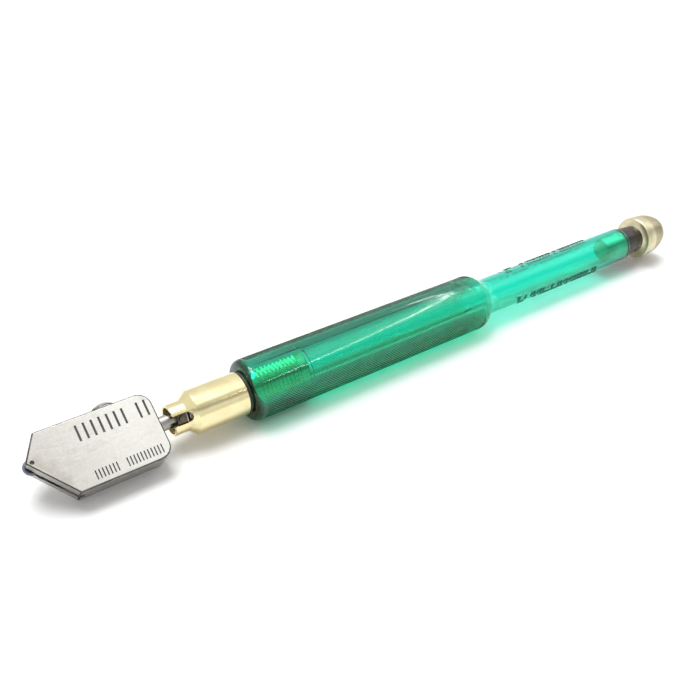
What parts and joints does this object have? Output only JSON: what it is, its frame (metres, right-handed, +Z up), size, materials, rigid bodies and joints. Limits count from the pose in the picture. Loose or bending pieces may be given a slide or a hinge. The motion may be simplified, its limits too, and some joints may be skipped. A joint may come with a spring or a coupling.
{
  "type": "glass cutter",
  "caption": "Pencil-style oil-feed glass cutter: flat steel head with a small cutting wheel, turned brass ferrule, clear green oil barrel and a brass screw cap.",
  "frame": {"origin": "on the table under the middle of the tool's length, where it lies on its side", "axes": "+X along the tool from the cutting head to the cap, +Z up; the head plate is rolled 38.5 degrees about X so that its lower corner is just clear of the table"},
  "size_m": [0.1726, 0.0141, 0.013],
  "materials": {
    "ground_steel": "satin ground, light warm grey with faint stains",
    "carbide": "fine ground tungsten carbide, blue-grey",
    "dark_steel": "oil-blackened steel",
    "screw_steel": "turned, nickel plated",
    "wick_cotton": "twisted cotton, soaked in oil",
    "post_steel": "fine turned steel",
    "spring_steel": "drawn wire",
    "ferrule_brass": "polished turned brass, pale",
    "valve_brass": "as-turned brass",
    "cap_brass": "knurled and polished brass, pale",
    "seal_rubber": "black moulded rubber",
    "gasket_rubber": "glossy brown-black rubber",
    "green_acrylic": "clear emerald acrylic, moulded fine knurl on the grip"
  },
  "bodies": {
    "handle": {"barrel": "green_acrylic", "ferrule": "ferrule_brass", "ferrule_seal": "seal_rubber", "post_seal": "seal_rubber", "feed_spring": "spring_steel"},
    "spring_washer": {"spring_washer": "post_steel"},
    "head": {"head_body": "ground_steel", "wheel_axle": "dark_steel", "head_screw": "screw_steel", "feed_wick": "wick_cotton", "head_post": "post_steel", "post_collar": "dark_steel", "key_pin": "dark_steel", "valve_seal": "seal_rubber", "valve_washer": "valve_brass", "valve_nut": "valve_brass"},
    "wheel": {"cutting_wheel": "carbide"},
    "gasket": {"cap_gasket": "gasket_rubber"},
    "cap": {"cap": "cap_brass"}
  },
  "joints": [
    {"name": "head_press", "type": "slide", "parent": "handle", "child": "spring_washer", "axis": [1, 0, 0], "range_m": [0, 0.001], "stiffness_N_per_m": 2000, "springref_m": -0.001, "deforming": ["feed_spring"]},
    {"name": "head_swivel", "type": "hinge", "parent": "spring_washer", "child": "head", "pos_m": [-0.05, 0, 0.0065], "axis": [1, 0, 0], "range_deg": [-7, 7]},
    {"name": "wheel_spin", "type": "hinge", "parent": "head", "child": "wheel", "pos_m": [-0.0848, 0.00106, 0.00734], "axis": [0, -0.6225, 0.7826], "continuous": true},
    {"name": "cap_lift", "type": "slide", "parent": "handle", "child": "gasket", "axis": [1, 0, 0], "range_m": [0, 0.008]},
    {"name": "cap_unscrew", "type": "hinge", "parent": "gasket", "child": "cap", "pos_m": [0.0817, 0, 0.0065], "axis": [1, 0, 0], "range_deg": [0, 2880]}
  ],
  "couplings": [
    {"joint": "cap_lift", "follows": "cap_unscrew", "m_per_rad": 0.00015915}
  ]
}
